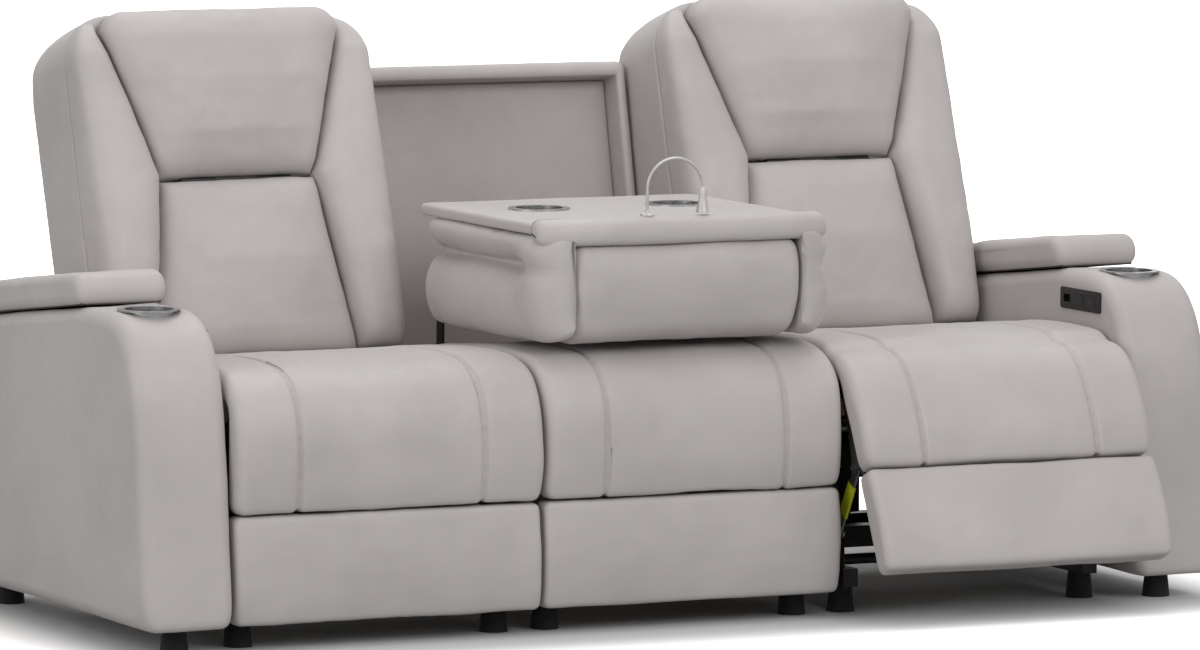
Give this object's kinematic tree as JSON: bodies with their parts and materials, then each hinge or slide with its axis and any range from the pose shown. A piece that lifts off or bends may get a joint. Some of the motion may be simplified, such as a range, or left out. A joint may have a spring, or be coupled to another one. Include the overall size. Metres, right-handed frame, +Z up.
{
  "type": "power reclining sofa with drop down console",
  "caption": "Reclining sofa with padded backs, tilting headrests, arm cup holders and storage, and a middle back that folds down as a console table.",
  "frame": {"origin": "on the floor, under the middle of the overall width and depth", "axes": "+X to the right of a person facing the sofa, +Y to its rear, +Z up"},
  "size_m": [2.176, 1.1534, 1.0912],
  "materials": {
    "upholstery": "matte",
    "board": "matte",
    "timber": "matte",
    "black_steel": "satin",
    "yellow_plastic": "matte",
    "black_plastic": "matte",
    "cup_steel": "satin",
    "table_laminate": "satin",
    "lamp_metal": "satin"
  },
  "bodies": {
    "base": {"base_frame": "timber", "feet": "black_plastic", "seat_cushion_left": "upholstery", "seat_cushion_middle": "upholstery", "seat_cushion_right": "upholstery", "front_panel_middle": "upholstery", "seat_frames": "timber", "mechanism_plates": "black_steel", "actuators": "black_steel", "arm_shell_left": "upholstery", "arm_shell_right": "upholstery", "lid_hinges": "black_steel", "arm_cups": "cup_steel", "storage_bins": "black_plastic", "switch_plates": "black_plastic", "middle_back_frame": "upholstery", "middle_back_panel": "upholstery", "console_brackets": "black_steel"},
    "footrest_left": {"footrest_pad_left": "upholstery", "footrest_panel_left": "upholstery", "footrest_frame_left": "board"},
    "torque_left": {"torque_tube_left": "black_steel"},
    "coupler_left": {"coupler_bars_left": "black_steel", "coupler_sleeves_left": "yellow_plastic"},
    "drive_left": {"drive_block_left": "black_plastic"},
    "back_left": {"back_shell_left": "upholstery", "back_bolsters_left": "upholstery", "lumbar_pad_left": "upholstery", "back_steel_left": "black_steel"},
    "headrest_left": {"headrest_pad_left": "upholstery", "headrest_board_left": "board"},
    "lid_left": {"lid_pad_left": "upholstery", "lid_board_left": "board"},
    "recline_switch_left": {"recline_rocker_left": "black_plastic"},
    "headrest_switch_left": {"headrest_rocker_left": "black_plastic"},
    "footrest_right": {"footrest_pad_right": "upholstery", "footrest_panel_right": "upholstery", "footrest_frame_right": "board"},
    "torque_right": {"torque_tube_right": "black_steel"},
    "coupler_right": {"coupler_bars_right": "black_steel", "coupler_sleeves_right": "yellow_plastic"},
    "drive_right": {"drive_block_right": "black_plastic"},
    "back_right": {"back_shell_right": "upholstery", "back_bolsters_right": "upholstery", "lumbar_pad_right": "upholstery", "back_steel_right": "black_steel"},
    "headrest_right": {"headrest_pad_right": "upholstery", "headrest_board_right": "board"},
    "lid_right": {"lid_pad_right": "upholstery", "lid_board_right": "board"},
    "recline_switch_right": {"recline_rocker_right": "black_plastic"},
    "headrest_switch_right": {"headrest_rocker_right": "black_plastic"},
    "console": {"console_pillow": "upholstery", "console_core": "upholstery", "console_table": "table_laminate", "console_cups": "cup_steel", "console_bolsters": "upholstery", "console_arms": "black_steel"},
    "lamp": {"reading_lamp": "lamp_metal"}
  },
  "joints": [
    {"name": "footrest_left_swing", "type": "hinge", "parent": "base", "child": "footrest_left", "pos_m": [-0.606, -0.35027, 0.468], "axis": [-1, 0, 0], "range_deg": [0, 85]},
    {"name": "torque_left_turn", "type": "hinge", "parent": "base", "child": "torque_left", "pos_m": [-0.606, -0.27827, 0.34], "axis": [-1, 0, 0], "range_deg": [0, 85]},
    {"name": "coupler_left_turn", "type": "hinge", "parent": "torque_left", "child": "coupler_left", "pos_m": [-0.606, -0.25627, 0.141], "axis": [-1, 0, 0], "range_deg": [-85, 0]},
    {"name": "drive_left_slide", "type": "slide", "parent": "base", "child": "drive_left", "axis": [0, -1, 0], "range_m": [0, 0.06757]},
    {"name": "back_left_recline", "type": "hinge", "parent": "base", "child": "back_left", "pos_m": [-0.606, 0.19318, 0.37217], "axis": [-1, 0, 0], "range_deg": [0, 40]},
    {"name": "headrest_left_tilt", "type": "hinge", "parent": "back_left", "child": "headrest_left", "pos_m": [-0.606, 0.28354, 0.78162], "axis": [1, 0, 0], "range_deg": [0, 35]},
    {"name": "lid_left_hinge", "type": "hinge", "parent": "base", "child": "lid_left", "pos_m": [-0.999, 0.3713, 0.5446], "axis": [-1, 0, 0], "range_deg": [0, 80]},
    {"name": "recline_switch_left_rock", "type": "hinge", "parent": "base", "child": "recline_switch_left", "pos_m": [-0.913, -0.24427, 0.546], "axis": [0, 0, 1], "range_deg": [-5, 5], "stiffness_Nm_per_rad": 0.3},
    {"name": "headrest_switch_left_rock", "type": "hinge", "parent": "base", "child": "headrest_switch_left", "pos_m": [-0.913, -0.20027, 0.546], "axis": [0, 0, 1], "range_deg": [-5, 5], "stiffness_Nm_per_rad": 0.3},
    {"name": "footrest_right_swing", "type": "hinge", "parent": "base", "child": "footrest_right", "pos_m": [0.606, -0.35027, 0.468], "axis": [-1, 0, 0], "range_deg": [-25, 60]},
    {"name": "torque_right_turn", "type": "hinge", "parent": "base", "child": "torque_right", "pos_m": [0.606, -0.27827, 0.34], "axis": [-1, 0, 0], "range_deg": [-25, 60]},
    {"name": "coupler_right_turn", "type": "hinge", "parent": "torque_right", "child": "coupler_right", "pos_m": [0.606, -0.34243, 0.15035], "axis": [-1, 0, 0], "range_deg": [-60, 25]},
    {"name": "drive_right_slide", "type": "slide", "parent": "base", "child": "drive_right", "axis": [0, -1, 0], "range_m": [-0.01988, 0.0477]},
    {"name": "back_right_recline", "type": "hinge", "parent": "base", "child": "back_right", "pos_m": [0.606, 0.19318, 0.37217], "axis": [-1, 0, 0], "range_deg": [0, 40]},
    {"name": "headrest_right_tilt", "type": "hinge", "parent": "back_right", "child": "headrest_right", "pos_m": [0.606, 0.28354, 0.78162], "axis": [1, 0, 0], "range_deg": [0, 35]},
    {"name": "lid_right_hinge", "type": "hinge", "parent": "base", "child": "lid_right", "pos_m": [0.999, 0.3713, 0.5446], "axis": [-1, 0, 0], "range_deg": [0, 80]},
    {"name": "recline_switch_right_rock", "type": "hinge", "parent": "base", "child": "recline_switch_right", "pos_m": [0.913, -0.24427, 0.546], "axis": [0, 0, 1], "range_deg": [-5, 5], "stiffness_Nm_per_rad": 0.3},
    {"name": "headrest_switch_right_rock", "type": "hinge", "parent": "base", "child": "headrest_switch_right", "pos_m": [0.913, -0.20027, 0.546], "axis": [0, 0, 1], "range_deg": [-5, 5], "stiffness_Nm_per_rad": 0.3},
    {"name": "console_fold", "type": "hinge", "parent": "base", "child": "console", "pos_m": [0, 0.18173, 0.53], "axis": [-1, 0, 0], "range_deg": [0, 102]},
    {"name": "lamp_turn", "type": "hinge", "parent": "console", "child": "lamp", "pos_m": [-0.07, -0.34427, 0.745], "axis": [0, 0, -1], "range_deg": [0, 100]}
  ],
  "couplings": [
    {"joint": "torque_left_turn", "follows": "footrest_left_swing", "ratio": 1},
    {"joint": "coupler_left_turn", "follows": "footrest_left_swing", "ratio": -1},
    {"joint": "drive_left_slide", "follows": "footrest_left_swing", "m_per_rad": 0.045539},
    {"joint": "torque_right_turn", "follows": "footrest_right_swing", "ratio": 1},
    {"joint": "coupler_right_turn", "follows": "footrest_right_swing", "ratio": -1},
    {"joint": "drive_right_slide", "follows": "footrest_right_swing", "m_per_rad": 0.045539}
  ]
}
